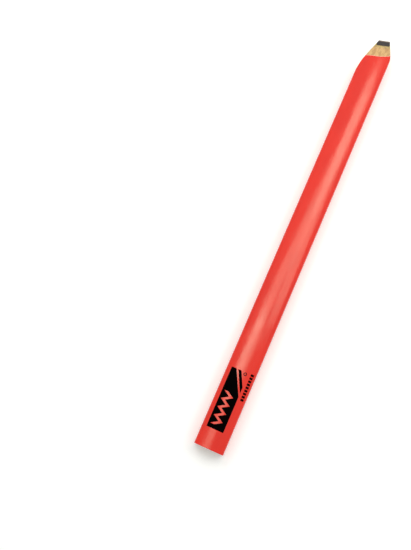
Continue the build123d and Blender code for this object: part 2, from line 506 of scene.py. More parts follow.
class Weave:
    """Builds one node material and keeps its handles short."""

    def __init__(self, name: str) -> None:
        """Start a material with a Principled shader that reads Object coordinates.

        Args:
            name: Name of the finish.
        """
        self.material = bpy.data.materials.new(name)
        self.material.use_nodes = True
        self.tree = self.material.node_tree
        self.shader = self.tree.nodes["Principled BSDF"]
        self.coords = self.tree.nodes.new("ShaderNodeTexCoord").outputs["Object"]

    def _feed(self, socket: bpy.types.NodeSocket, value: object) -> None:
        """Link a socket to another, or set its value.

        Args:
            socket: The input.
            value: An output socket, a number or a colour.
        """
        if isinstance(value, bpy.types.NodeSocket):
            self.tree.links.new(value, socket)
        elif isinstance(value, tuple) and len(value) == 3 and len(socket.default_value) == 4:
            socket.default_value = (*value, 1.0)
        else:
            socket.default_value = value

    def set(self, **values: object) -> None:
        """Set or link the shader's inputs.

        Args:
            values: Inputs by name, with underscores for spaces.
        """
        for name, value in values.items():
            self._feed(self.shader.inputs[name.replace("_", " ")], value)

    def stretched(self, x: float, y: float, z: float, shift: Colour = (0, 0, 0)) -> object:
        """Scale the Object coordinates, so that 1 unit is so many millimetres.

        Args:
            x: Length of one unit along the barrel, in millimetres.
            y: Length of one unit across it.
            z: Length of one unit through it.
            shift: Offset, which gives each pattern its own place.

        Returns:
            The scaled coordinates.
        """
        mapping = self.tree.nodes.new("ShaderNodeMapping")
        mapping.inputs["Scale"].default_value = (1 / (x * MM), 1 / (y * MM), 1 / (z * MM))
        mapping.inputs["Location"].default_value = shift
        self.tree.links.new(self.coords, mapping.inputs["Vector"])
        return mapping.outputs["Vector"]

    def noise(
        self, coords: object, detail: float = 3.0, rough: float = 0.55, twist: float = 0.0
    ) -> object:
        """Soft random pattern.

        Args:
            coords: Scaled coordinates.
            detail: Number of finer layers.
            rough: Strength of the finer layers.
            twist: How far the pattern is distorted.

        Returns:
            A value about 0.5.
        """
        node = self.tree.nodes.new("ShaderNodeTexNoise")
        self.tree.links.new(coords, node.inputs["Vector"])
        node.inputs["Scale"].default_value = 1.0
        node.inputs["Detail"].default_value = detail
        node.inputs["Roughness"].default_value = rough
        node.inputs["Distortion"].default_value = twist
        return node.outputs["Fac"]

    def spread(self, value: object, low: float, high: float, to_low: float = 0.0,
               to_high: float = 1.0) -> object:
        """Smoothly map a range of values to another.

        Args:
            value: The value to map.
            low: Start of the range.
            high: End of the range.
            to_low: Result at the start.
            to_high: Result at the end.

        Returns:
            The mapped value.
        """
        node = self.tree.nodes.new("ShaderNodeMapRange")
        node.interpolation_type = "SMOOTHSTEP"
        for name, number in (
            ("From Min", low), ("From Max", high), ("To Min", to_low), ("To Max", to_high)
        ):
            node.inputs[name].default_value = number
        self._feed(node.inputs["Value"], value)
        return node.outputs["Result"]

    def maths(self, kind: str, first: object, second: object = 0.0, third: object = 0.0) -> object:
        """One step of arithmetic.

        Args:
            kind: The operation.
            first: First value.
            second: Second value.
            third: Third value, for the operations that have one.

        Returns:
            The result.
        """
        node = self.tree.nodes.new("ShaderNodeMath")
        node.operation = kind
        for socket, value in zip(node.inputs, (first, second, third)):
            self._feed(socket, value)
        return node.outputs["Value"]

    def axis(self, name: str) -> object:
        """One Object coordinate, in metres.

        Args:
            name: X, Y or Z.

        Returns:
            The coordinate.
        """
        node = self.tree.nodes.new("ShaderNodeSeparateXYZ")
        self.tree.links.new(self.coords, node.inputs["Vector"])
        return node.outputs[name]

    def blend(self, amount: object, first: object, second: object) -> object:
        """Mix two colours.

        Args:
            amount: 0 for the first, 1 for the second.
            first: First colour.
            second: Second colour.

        Returns:
            The mixed colour.
        """
        node = self.tree.nodes.new("ShaderNodeMix")
        node.data_type = "RGBA"
        self._feed(node.inputs["Factor"], amount)
        self._feed(node.inputs[6], first)
        self._feed(node.inputs[7], second)
        return node.outputs[2]

    def bump(self, height: object, depth: float, onto: object = None) -> object:
        """Turn a height pattern into a relief.

        Args:
            height: The pattern.
            depth: Height of one unit of it, in millimetres.
            onto: An earlier relief to add to.

        Returns:
            The bent normal.
        """
        node = self.tree.nodes.new("ShaderNodeBump")
        node.inputs["Strength"].default_value = 1.0
        node.inputs["Distance"].default_value = depth * MM
        self._feed(node.inputs["Height"], height)
        if onto is not None:
            self.tree.links.new(onto, node.inputs["Normal"])
        return node.outputs["Normal"]


@dataclass(frozen=True)
class LacquerFinish:
    """Glossy red lacquer, dipped in several coats over the ground."""

    form: BarrelForm
    red: Colour = (0.765, 0.0205, 0.0056)
    deep_red: Colour = (0.715, 0.0178, 0.0047)
    scuff: Colour = (0.84, 0.085, 0.055)
    ground: Colour = (0.62, 0.30, 0.20)

    def make(self) -> bpy.types.Material:
        """Build the material.

        Returns:
            The finish.
        """
        weave = Weave("red_lacquer_finish")
        clouds = weave.noise(weave.stretched(14, 5, 5), 4.0)
        colour = weave.blend(weave.spread(clouds, 0.35, 0.68), self.red, self.deep_red)
        scratches = weave.noise(weave.stretched(9, 0.16, 0.5, (3, 7, 1)), 5.0, 0.7, 0.4)
        scratched = weave.spread(scratches, 0.66, 0.74)
        colour = weave.blend(weave.maths("MULTIPLY", scratched, 0.35), colour, self.scuff)
        nearness = weave.maths("ABSOLUTE", weave.axis("Y"))
        rim = weave.spread(nearness, 5.15 * MM, 5.65 * MM)
        chips = weave.spread(
            weave.noise(weave.stretched(1.5, 0.6, 0.6, (1, 2, 8)), 4.0, 0.7), 0.69, 0.71
        )
        butt = weave.spread(
            weave.axis("X"), (self.form.butt_x + 0.15) * MM, (self.form.butt_x + 0.9) * MM, 1, 0
        )
        worn = weave.maths("MULTIPLY", weave.maths("MAXIMUM", rim, butt), chips)
        colour = weave.blend(weave.maths("MULTIPLY", worn, 0.8), colour, self.ground)
        ripple = weave.noise(weave.stretched(5.0, 1.8, 3.0, (5, 1, 2)), 2.0, 0.4)
        peel = weave.noise(weave.stretched(0.5, 0.35, 0.35, (2, 9, 4)), 2.0, 0.5)
        normal = weave.bump(ripple, 0.012)
        normal = weave.bump(peel, 0.0012, normal)
        normal = weave.bump(scratched, -0.002, normal)
        normal = weave.bump(worn, -0.03, normal)
        gloss = weave.spread(
            weave.noise(weave.stretched(7, 3, 3, (8, 8, 1)), 4.0, 0.6), 0.3, 0.7, 0.11, 0.17
        )
        gloss = weave.maths("ADD", gloss, weave.maths("MULTIPLY", scratched, 0.12))
        gloss = weave.maths("ADD", gloss, weave.maths("MULTIPLY", worn, 0.35))
        weave.set(Base_Color=colour, Roughness=gloss, IOR=1.5, Normal=normal)
        return weave.material


@dataclass(frozen=True)
class GroundFinish:
    """Pale filler under the lacquer, seen as a fine line at its cut edge."""

    pale: Colour = (0.78, 0.50, 0.34)
    stained: Colour = (0.72, 0.27, 0.17)

    def make(self) -> bpy.types.Material:
        """Build the material.

        Returns:
            The finish.
        """
        weave = Weave("ground_coat_finish")
        blots = weave.noise(weave.stretched(0.9, 0.7, 0.7), 4.0, 0.6)
        grit = weave.noise(weave.stretched(0.12, 0.12, 0.12), 2.0)
        weave.set(
            Base_Color=weave.blend(weave.spread(blots, 0.4, 0.65), self.pale, self.stained),
            Roughness=weave.spread(grit, 0.3, 0.7, 0.55, 0.75),
            Normal=weave.bump(grit, 0.01),
        )
        return weave.material


@dataclass(frozen=True)
class WoodFinish:
    """Straight-grained pencil wood, cut with a knife at the point and sawn at the butt."""

    form: BarrelForm
    light: Colour = (0.66, 0.42, 0.18)
    dark: Colour = (0.50, 0.28, 0.11)
    pore: Colour = (0.30, 0.15, 0.06)
    smudge: Colour = (0.16, 0.14, 0.10)
    tint: Colour = (0.46, 0.45, 0.09)

    def make(self) -> bpy.types.Material:
        """Build the material.

        Returns:
            The finish.
        """
        weave = Weave("slat_wood_finish")
        rings = weave.noise(weave.stretched(38, 1.1, 0.75, (1, 3, 2)), 3.0, 0.55, 0.35)
        streaks = weave.noise(weave.stretched(6.5, 0.22, 0.22, (4, 1, 6)), 4.0, 0.65)
        pores = weave.noise(weave.stretched(2.6, 0.10, 0.10, (9, 2, 3)), 3.0, 0.6)
        colour = weave.blend(weave.spread(rings, 0.40, 0.62), self.light, self.dark)
        colour = weave.blend(
            weave.maths("MULTIPLY", weave.spread(streaks, 0.52, 0.70), 0.65), colour, self.dark
        )
        fleck = weave.spread(pores, 0.62, 0.70)
        colour = weave.blend(weave.maths("MULTIPLY", fleck, 0.6), colour, self.pore)
        near_tip = weave.spread(
            weave.axis("X"), (self.form.tip_x - 20) * MM, (self.form.tip_x - 15) * MM
        )
        height = weave.maths(
            "ABSOLUTE", weave.maths("SUBTRACT", weave.axis("Z"), self.form.axis_z * MM)
        )
        edge = self.form.lead_thickness / 2
        by_lead = weave.spread(height, (edge + 0.05) * MM, (edge + 0.55) * MM, 1, 0)
        cloud = weave.spread(
            weave.noise(weave.stretched(1.6, 0.5, 0.5, (6, 6, 6)), 3.0), 0.38, 0.62
        )
        tinted = weave.maths("MULTIPLY", weave.maths("MULTIPLY", by_lead, near_tip), cloud)
        colour = weave.blend(weave.maths("MULTIPLY", tinted, 0.75), colour, self.tint)
        rubbed = weave.spread(
            weave.axis("X"), (self.form.tip_x - 7.5) * MM, (self.form.tip_x - 3.0) * MM
        )
        dust = weave.spread(
            weave.noise(weave.stretched(1.2, 0.4, 0.4, (2, 2, 7)), 4.0, 0.7), 0.42, 0.72
        )
        colour = weave.blend(
            weave.maths("MULTIPLY", weave.maths("MULTIPLY", rubbed, dust), 0.8), colour, self.smudge
        )
        relief = weave.bump(rings, 0.05)
        relief = weave.bump(streaks, 0.03, relief)
        relief = weave.bump(fleck, -0.02, relief)
        weave.set(
            Base_Color=colour,
            Roughness=weave.spread(streaks, 0.3, 0.7, 0.50, 0.72),
            Normal=relief,
        )
        return weave.material


@dataclass(frozen=True)
class GraphiteFinish:
    """Hard graphite core, burnished by the knife and worn along its edge, where a lighter band is
    painted that is partly wear and partly a painted highlight.
    """

    form: BarrelForm
    grey: Colour = (0.020, 0.015, 0.013)
    bright: Colour = (0.055, 0.043, 0.038)
    # worn: lighter brown of the worn land, partly its own wear and partly a painted highlight
    worn: Colour = (0.30, 0.21, 0.16)

    def make(self) -> bpy.types.Material:
        """Build the material.

        Returns:
            The finish.
        """
        weave = Weave("graphite_finish")
        knife = weave.noise(weave.stretched(0.8, 0.09, 0.12, (2, 5, 1)), 4.0, 0.65, 0.5)
        body = weave.noise(weave.stretched(1.4, 0.9, 0.9, (7, 3, 2)), 4.0)
        colour = weave.blend(weave.spread(knife, 0.40, 0.66), self.grey, self.bright)
        place, normal = Knife(self.form).plane(*self.form.strokes[-1])
        depth = weave.maths("MULTIPLY", weave.axis("X"), normal.x)
        depth = weave.maths("MULTIPLY_ADD", weave.axis("Y"), normal.y, depth)
        depth = weave.maths("SUBTRACT", depth, place.dot(normal) * MM)
        # Band along the worn edge, painted lighter: partly wear, partly a painted highlight of the
        # land catching the light
        worn_land_and_highlight = weave.spread(depth, -0.75 * MM, -0.25 * MM)
        broken = weave.spread(body, 0.30, 0.50)
        colour = weave.blend(weave.maths("MULTIPLY", worn_land_and_highlight, broken), colour, self.worn)
        gloss = weave.spread(body, 0.3, 0.7, 0.30, 0.45)
        relief = weave.bump(knife, 0.02)
        relief = weave.bump(body, 0.03, relief)
        weave.set(
            Base_Color=colour, Roughness=gloss, Metallic=0.25, Specular_IOR_Level=0.6,
            Normal=relief,
        )
        return weave.material


@dataclass(frozen=True)
class AdhesiveFinish:
    """Dried glue, amber and slightly glossy."""

    amber: Colour = (0.30, 0.17, 0.06)
    brown: Colour = (0.16, 0.08, 0.03)

    def make(self) -> bpy.types.Material:
        """Build the material.

        Returns:
            The finish.
        """
        weave = Weave("adhesive_finish")
        blots = weave.noise(weave.stretched(0.8, 0.3, 0.3), 4.0)
        weave.set(
            Base_Color=weave.blend(weave.spread(blots, 0.4, 0.6), self.amber, self.brown),
            Roughness=weave.spread(blots, 0.3, 0.7, 0.35, 0.6),
            Normal=weave.bump(blots, 0.01),
        )
        return weave.material


@dataclass(frozen=True)
class InkFinish:
    """Matt stamped ink with a few pinholes that show the lacquer."""

    name: str
    ink: Colour
    faded: Colour
    under: Colour = (0.55, 0.03, 0.02)
    pinholes: float = 0.76
    low_gloss: float = 0.50

    def make(self) -> bpy.types.Material:
        """Build the material.

        Returns:
            The finish.
        """
        weave = Weave(self.name)
        patches = weave.noise(weave.stretched(5, 2, 2, (3, 3, 3)), 4.0, 0.6)
        grain = weave.noise(weave.stretched(0.16, 0.14, 0.14, (4, 8, 2)), 3.0, 0.6)
        colour = weave.blend(weave.spread(patches, 0.42, 0.70), self.ink, self.faded)
        pinholes = weave.spread(grain, self.pinholes, self.pinholes + 0.03)
        colour = weave.blend(pinholes, colour, self.under)
        gloss = weave.spread(patches, 0.3, 0.7, self.low_gloss, self.low_gloss + 0.18)
        relief = weave.bump(grain, 0.003)
        weave.set(Base_Color=colour, Roughness=gloss, Specular_IOR_Level=0.01, Normal=relief)
        return weave.material


@dataclass(frozen=True)
class FoilFinish:
    """Pale gold hot-stamped foil, thin enough to break up a little."""

    gold: Colour = (0.82, 0.62, 0.27)
    pale: Colour = (0.90, 0.76, 0.44)
    under: Colour = (0.50, 0.06, 0.03)

    def make(self) -> bpy.types.Material:
        """Build the material.

        Returns:
            The finish.
        """
        weave = Weave("gold_foil_finish")
        patches = weave.noise(weave.stretched(2.4, 1.2, 1.2, (1, 6, 3)), 4.0, 0.6)
        grain = weave.noise(weave.stretched(0.2, 0.16, 0.16, (7, 7, 2)), 3.0, 0.6)
        gaps = weave.spread(grain, 0.70, 0.74)
        colour = weave.blend(weave.spread(patches, 0.35, 0.65), self.gold, self.pale)
        colour = weave.blend(gaps, colour, self.under)
        metal = weave.spread(grain, 0.70, 0.74, 0.9, 0.0)
        gloss = weave.spread(patches, 0.3, 0.7, 0.26, 0.42)
        relief = weave.bump(grain, 0.004)
        weave.set(Base_Color=colour, Metallic=metal, Roughness=gloss, Normal=relief)
        return weave.material


@dataclass(frozen=True)
class FloorFinish:
    """Plain pale paper on a softly lit table."""

    paper: Colour = (0.93, 0.93, 0.93)
    glow: float = 0.16

    def make(self) -> bpy.types.Material:
        """Build the material.

        Returns:
            The finish.
        """
        weave = Weave("paper_finish")
        fibres = weave.noise(weave.stretched(1.5, 1.5, 1.5), 4.0)
        weave.set(
            Base_Color=self.paper,
            Roughness=0.9,
            Specular_IOR_Level=0.0,
            Emission_Color=(1.0, 1.0, 1.0),
            Emission_Strength=self.glow,
            Normal=weave.bump(fibres, 0.01),
        )
        return weave.material


# ---------------------------------------------------------------------------------------------
# Sub-assemblies
# ---------------------------------------------------------------------------------------------


def place_piece(
    piece: bpy.types.Object, finish: bpy.types.Material, slot: str, *nodes: str
) -> None:
    """Dress a finished piece and hide the frame's nodes that it replaces.

    Args:
        piece: The finished piece.
        finish: Its material.
        slot: Not used.
        nodes: The frame's nodes that it replaces.
    """
    piece.data.materials.clear()
    piece.data.materials.append(finish)
    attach(piece, "root")
    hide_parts(*nodes)
    LOG.info("%s: %d faces", piece.name, len(piece.data.polygons))


@dataclass
class Casing:
    """The barrel: two grooved slats, their glue lines, the ground coat and the red lacquer."""

    form: BarrelForm
    crown_steps: int = 14
    butt_round: float = 0.05
    butt_segments: int = 3
    dimples: int = 6
    dimple_x: float = -4.5
    dimple_pitch: float = 1.9
    dimple_length: float = 1.0
    dimple_width: float = 2.2
    dimple_depth: float = 0.06
    punch_segments: int = 32
    punch_rings: int = 16
    shoulder_steps: int = 24
    groove_steps: int = 24

    def _half_turn(self, sweep: EdgeSweep, side: int, drop: float) -> None:
        """Carry the edge from the middle of one broad face round a shoulder to the flat side.

        Args:
            sweep: The sweep, at the middle of a broad face.
            side: 1 from the top face towards +Y, -1 from the underside towards -Y.
            drop: How far the edge goes on down the flat side, in millimetres.
        """
        across, above, half_angle = self.form.fillet()
        centre = self.form.thickness / 2 - self.form.crown_radius
        sweep.arc(0, side * centre, half_angle, self.crown_steps // 2)
        sweep.arc(side * across, side * above, 90 - half_angle, self.shoulder_steps)
        sweep.straight(0, -side * drop)

    def _sleeve(self, name: str, outer: float, inner: float) -> bpy.types.Object:
        """Mould a sleeve round the barrel.

        Args:
            name: Name of the piece.
            outer: How far its outside lies below the finished surface, in millimetres.
            inner: How far its inside lies below it.

        Returns:
            The sleeve, cut square at both ends.
        """
        sweep = EdgeSweep(name, self.form, 0, self.form.thickness / 2 - outer)
        _, above, half_angle = self.form.fillet()
        centre = self.form.thickness / 2 - self.form.crown_radius
        for side in (1, -1):
            self._half_turn(sweep, side, 2 * above)
            sweep.arc(
                side * (self.form.width / 2 - self.form.shoulder_radius),
                -side * above,
                90 - half_angle,
                self.shoulder_steps,
            )
            sweep.arc(0, -side * centre, half_angle, self.crown_steps // 2)
        return sweep.wall(inner - outer)

    def _round_butt(self, sleeve: bpy.types.Object) -> None:
        """Round the lacquer's outer edge at the butt a little.

        Args:
            sleeve: The lacquer sleeve.
        """
        form = self.form
        skin = form.print_film + self.butt_round / 2
        Bench.edit(sleeve)
        Bench.pick(
            Pick.EDGES,
            lambda place: abs(place.x - form.butt_x) < NEAR
            and form.skin_depth(place.y, place.z - form.axis_z) < skin,
        )
        bpy.ops.mesh.bevel(offset=self.butt_round * MM, segments=self.butt_segments, affect="EDGES")
        Bench.weld()
        Bench.clear()

    def _press_dimples(self, sleeve: bpy.types.Object) -> None:
        """Press the blind stamp's dimples into the underside.

        Args:
            sleeve: The lacquer sleeve.
        """
        form = self.form
        radius = self.dimple_length / 2
        rise = math.sqrt(radius**2 - (radius - self.dimple_depth) ** 2)
        stretch = radius / rise
        for dimple in range(self.dimples):
            x = self.dimple_x + (dimple - (self.dimples - 1) / 2) * self.dimple_pitch
            Bench.clear()
            bpy.ops.mesh.primitive_uv_sphere_add(
                segments=self.punch_segments, ring_count=self.punch_rings, radius=radius * MM
            )
            punch = bpy.context.object
            bpy.ops.object.mode_set(mode="EDIT")
            across = stretch * self.dimple_width / self.dimple_length
            bpy.ops.transform.resize(value=(stretch, across, 1))
            low = form.print_film + self.dimple_depth - radius
            bpy.ops.transform.translate(value=(x * MM, 0, low * MM))
            Bench.clear()
            Bench.modify(sleeve, "BOOLEAN", object=punch, operation="DIFFERENCE", solver="EXACT")
            bpy.data.objects.remove(punch)

    def _slat(self, name: str, side: int) -> bpy.types.Object:
        """Mould one grooved slat.

        Args:
            name: Name of the piece.
            side: 1 for the upper slat, -1 for the lower one.

        Returns:
            The slat, cut square at both ends.
        """
        form = self.form
        _, above, half_angle = self.form.fillet()
        centre = form.thickness / 2 - form.crown_radius
        joint = form.glue_line / 2
        outer = form.width / 2 - form.coats
        radius = form.lead_corner + form.bond_film
        groove_half = form.lead_width / 2 + form.bond_film
        roof = form.lead_thickness / 2 + form.bond_film
        far, near = form.lead_offset + side * groove_half, form.lead_offset - side * groove_half
        sweep = EdgeSweep(name, form, 0, side * (form.thickness / 2 - form.coats))
        self._half_turn(sweep, side, above - joint)
        sweep.straight(far - side * outer, 0)
        sweep.straight(0, side * (roof - radius - joint))
        sweep.arc(far - side * radius, side * (roof - radius), -90, self.groove_steps)
        sweep.straight(-side * 2 * (groove_half - radius), 0)
        sweep.arc(near + side * radius, side * (roof - radius), -90, self.groove_steps)
        sweep.straight(0, -side * (roof - radius - joint))
        sweep.straight(-side * outer - near, 0)
        sweep.straight(0, side * (above - joint))
        sweep.arc(
            -side * (form.width / 2 - form.shoulder_radius), side * above, 90 - half_angle,
            self.shoulder_steps,
        )
        sweep.arc(0, side * centre, half_angle, self.crown_steps // 2)
        return sweep.cap()

    def _glue_film(self, name: str, side: int) -> bpy.types.Object:
        """Lay the glue between the slats on one side of the core.

        Args:
            name: Name of the piece.
            side: 1 for the +Y side, -1 for the other.

        Returns:
            The film, cut square at both ends.
        """
        form = self.form
        inner = form.lead_offset + side * (form.lead_width / 2 + form.bond_film)
        outer = side * (form.width / 2 - form.coats)
        half = form.glue_line / 2
        sweep = EdgeSweep(name, form, inner, half)
        sweep.straight(outer - inner, 0).straight(0, -2 * half)
        sweep.straight(inner - outer, 0).straight(0, 2 * half)
        return sweep.cap()

    def build(self, knife: Knife) -> None:
        """Make, sharpen and dress the barrel's layers.

        Args:
            knife: The sharpening knife.
        """
        form = self.form
        wood = WoodFinish(form).make()
        adhesive = AdhesiveFinish().make()
        lacquer = self._sleeve("lacquer_sleeve", form.print_film, form.red_coat)
        self._round_butt(lacquer)
        self._press_dimples(lacquer)
        layers = (
            (lacquer, LacquerFinish(form).make(), "red_lacquer", "red_lacquer"),
            (self._sleeve("ground_sleeve", form.red_coat, form.coats),
             GroundFinish().make(), "ground_coat", "ground_coat"),
            (self._slat("upper_slat", 1), wood, "wood", "slat_upper"),
            (self._slat("lower_slat", -1), wood, "wood", "slat_lower"),
            (self._glue_film("left_glue_film", 1), adhesive, "adhesive", "glue_line_left"),
            (self._glue_film("right_glue_film", -1), adhesive, "adhesive", "glue_line_right"),
        )
        for piece, finish, slot, node in layers:
            knife.sharpen(piece)
            Bench.soften(piece)
            place_piece(piece, finish, slot, node)


@dataclass
class Core:
    """The graphite core and the adhesive film that holds it."""

    form: BarrelForm
    corner_steps: int = 24

    def _bar(self, name: str, grow: float) -> EdgeSweep:
        """Sweep the core's rounded rectangle.

        Args:
            name: Name of the piece.
            grow: How far the outline lies outside the core, in millimetres.

        Returns:
            The sweep, back at its start.
        """
        form = self.form
        half_width = form.lead_width / 2 + grow
        half_height = form.lead_thickness / 2 + grow
        radius = form.lead_corner + grow
        flat, rise = half_width - radius, half_height - radius
        middle = form.lead_offset
        sweep = EdgeSweep(name, form, middle - flat, half_height)
        sweep.straight(2 * flat, 0).arc(middle + flat, rise, 90, self.corner_steps)
        sweep.straight(0, -2 * rise).arc(middle + flat, -rise, 90, self.corner_steps)
        sweep.straight(-2 * flat, 0).arc(middle - flat, -rise, 90, self.corner_steps)
        sweep.straight(0, 2 * rise).arc(middle - flat, rise, 90, self.corner_steps)
        return sweep

    def build(self, knife: Knife) -> None:
        """Make, sharpen and dress the core and its film.

        Args:
            knife: The sharpening knife.
        """
        core = self._bar("graphite_core", 0).cap()
        bond = self._bar("core_bond", self.form.bond_film).wall(self.form.bond_film)
        for piece, finish, slot, node in (
            (core, GraphiteFinish(self.form).make(), "graphite", "graphite_lead"),
            (bond, AdhesiveFinish().make(), "adhesive", "lead_bond"),
        ):
            knife.sharpen(piece)
            Bench.soften(piece)
            place_piece(piece, finish, slot, node)


class Face(Enum):
    """The broad face that a mark is stamped on."""

    PLAIN = 1
    STAMPED = -1


@dataclass
class Stamp:
    """Cuts flat sheets of ink or foil and lays them on a crowned face."""

    form: BarrelForm
    strip: float = 0.45
    disc_corners: int = 40

    def sheet(self, x: float, y: float, long: float, wide: float) -> bpy.types.Object:
        """Cut a rectangular sheet.

        Args:
            x: Its middle along the barrel, in millimetres.
            y: Its middle across the barrel.
            long: Its length along the barrel.
            wide: Its width across it.

        Returns:
            The flat sheet.
        """
        Bench.clear()
        bpy.ops.mesh.primitive_plane_add(size=1)
        piece = bpy.context.object
        bpy.ops.object.mode_set(mode="EDIT")
        bpy.ops.transform.resize(value=(long * MM, wide * MM, 1))
        bpy.ops.transform.translate(value=(x * MM, y * MM, 0))
        Bench.clear()
        return piece

    def frame(self, x: float, long: float, wide: float, line: float) -> bpy.types.Object:
        """Cut a rectangular sheet with a rectangular hole, which leaves an even rim.

        Args:
            x: Its middle along the barrel, in millimetres.
            long: Its length along the barrel.
            wide: Its width across it.
            line: Width of the rim.

        Returns:
            The flat sheet.
        """
        piece = self.sheet(x, 0, long, wide)
        Bench.edit(piece)
        bpy.ops.mesh.select_mode(type="FACE")
        bpy.ops.mesh.select_all(action="SELECT")
        bpy.ops.mesh.inset(thickness=line * MM)
        bpy.ops.mesh.delete(type="FACE")
        Bench.clear()
        return piece

    def disc(self, x: float, y: float, radius: float, hole: float = 0.0) -> bpy.types.Object:
        """Cut a round sheet, with a hole if one is wanted.

        Args:
            x: Its middle along the barrel, in millimetres.
            y: Its middle across the barrel.
            radius: Its radius.
            hole: Radius of the hole, or 0.

        Returns:
            The flat sheet.
        """
        Bench.clear()
        bpy.ops.mesh.primitive_circle_add(
            vertices=self.disc_corners, radius=radius * MM, fill_type="NGON"
        )
        piece = bpy.context.object
        bpy.ops.object.mode_set(mode="EDIT")
        if hole:
            bpy.ops.mesh.select_all(action="SELECT")
            bpy.ops.mesh.inset(thickness=(radius - hole) * MM)
            bpy.ops.mesh.delete(type="FACE")
        bpy.ops.mesh.select_all(action="SELECT")
        bpy.ops.transform.translate(value=(x * MM, y * MM, 0))
        Bench.clear()
        return piece

    def trim(
        self, piece: bpy.types.Object, through: Vector, towards: Vector, clear: bool = True
    ) -> None:
        """Cut a flat sheet along a straight line.

        Args:
            piece: The flat sheet.
            through: A point of the line, in millimetres.
            towards: Direction of the line's normal, which points to the offcut.
            clear: Whether the offcut goes.
        """
        Bench.edit(piece)
        bpy.ops.mesh.select_all(action="SELECT")
        Bench.slice(through, towards, clear=clear)
        Bench.clear()

    def press(self, name: str, face: Face, pieces: Sequence[bpy.types.Object]) -> bpy.types.Object:
        """Join flat sheets, lay them on a broad face and give them their thickness.

        Args:
            name: Name of the finished mark.
            face: The face that it is stamped on.
            pieces: The flat sheets.

        Returns:
            The finished mark.
        """
        mark = Bench.join(name, pieces)
        Bench.edit(mark)
        reach = int(self.form.width / 2 / self.strip)
        for step in range(-reach, reach + 1):
            bpy.ops.mesh.select_all(action="SELECT")
            Bench.slice(Vector((0, step * self.strip, 0)), Vector((0, 1, 0)))
        Bench.weld()
        Bench.clear()
        for vert in mark.data.vertices:
            rise = self.form.crown_height(vert.co.y / MM, 0.001)
            vert.co.z = (self.form.axis_z + face.value * rise) * MM
        Bench.edit(mark)
        Bench.pick_inward(face.value)
        bpy.ops.mesh.flip_normals()
        Bench.clear()
        Bench.modify(mark, "SOLIDIFY", thickness=(self.form.print_film - 0.001) * MM, offset=-1.0)
        Bench.soften(mark)
        return mark


@dataclass
class PlainFaceMarks:
    """The black panel near the butt, with its saw-tooth line and stripe, and the small marks."""

    form: BarrelForm
    panel_start: float = 7.3
    panel_length: float = 23.3
    panel_width: float = 6.6
    panel_offset: float = 0.7
    slant_start: float = 14.0
    far_end_width: float = 1.9
    slant_gap: float = 0.6
    slant_stripe: float = 1.1
    teeth: int = 8
    tooth_run: float = 1.6
    tooth_rise: float = 2.6
    tooth_line: float = 0.85
    teeth_start: float = 1.6
    teeth_offset: float = 1.1
    dashes: int = 9
    dash_length: float = 0.85
    dash_width: float = 1.2
    dash_pitch: float = 1.2
    dash_offset: float = -4.2
    dash_x: float = 25.6
    spot_x: float = 29.9
    spot_offset: float = -1.6
    spot_radius: float = 0.65
    spot_hole: float = 0.35

    def _panel(self, stamp: Stamp) -> bpy.types.Object:
        """Cut the panel from one sheet.

        Args:
            stamp: The stamping tools.

        Returns:
            The finished panel.
        """
        near = self.form.butt_x + self.panel_start
        far = near + self.panel_length
        left = self.panel_offset + self.panel_width / 2
        right = self.panel_offset - self.panel_width / 2
        sheet = stamp.sheet(
            (near + far) / 2, self.panel_offset, self.panel_length, self.panel_width
        )
        slant_near = Vector((near + self.slant_start, right, 0))
        slant_far = Vector((far, left - self.far_end_width, 0))
        run = (slant_far - slant_near).normalized()
        across = Vector((run.y, -run.x, 0))
        for distance in (0.0, self.slant_gap):
            stamp.trim(sheet, slant_near + across * distance, across, clear=False)
        stamp.trim(sheet, slant_near + across * (self.slant_gap + self.slant_stripe), across)
        Bench.edit(sheet)
        Bench.pick(
            Pick.FACES, lambda place: 0 < (place - slant_near).dot(across) < self.slant_gap
        )
        bpy.ops.mesh.delete(type="FACE")
        first = near + self.teeth_start
        starts = [first + tooth * self.tooth_run for tooth in range(self.teeth + 1)]
        for start in starts:
            bpy.ops.mesh.select_all(action="SELECT")
            Bench.slice(Vector((start, 0, 0)), Vector((1, 0, 0)))
        strokes = []
        for tooth in range(self.teeth):
            rise = self.tooth_rise / 2 * (-1) ** tooth
            base = Vector((starts[tooth], self.teeth_offset + rise, 0))
            tip = Vector((starts[tooth + 1], self.teeth_offset - rise, 0))
            run = (tip - base).normalized()
            strokes.append((base, tip, Vector((run.y, -run.x, 0))))
        for base, tip, side in strokes:
            for edge in (-1, 1):
                Bench.pick(Pick.FACES, lambda place: base.x < place.x < tip.x)
                Bench.slice(base + side * edge * self.tooth_line / 2, side)

        def on_tooth(place: Vector) -> bool:
            """Say whether a place lies on the open saw-tooth line."""
            return any(
                base.x < place.x < tip.x and abs((place - base).dot(side)) < self.tooth_line / 2
                for base, tip, side in strokes
            )

        Bench.pick(Pick.FACES, on_tooth)
        bpy.ops.mesh.delete(type="FACE")
        return stamp.press("panel_print", Face.PLAIN, [sheet])

    def build(self, stamp: Stamp) -> None:
        """Make and dress the marks of the plain face.

        Args:
            stamp: The stamping tools.
        """
        black = InkFinish(
            "black_print_finish", (0.0008, 0.0004, 0.0004), (0.0022, 0.0008, 0.0006)
        ).make()
        place_piece(self._panel(stamp), black, "black_print", "black_panel_print")
        butt = self.form.butt_x
        pieces = [
            stamp.sheet(
                butt + self.dash_x + (dash - (self.dashes - 1) / 2) * self.dash_pitch,
                self.dash_offset, self.dash_length, self.dash_width,
            )
            for dash in range(self.dashes)
        ]
        pieces.append(
            stamp.disc(butt + self.spot_x, self.spot_offset, self.spot_radius, self.spot_hole)
        )
        dashes = stamp.press("side_dash_print", Face.PLAIN, pieces)
        place_piece(dashes, black, "black_print", "black_dash_print")


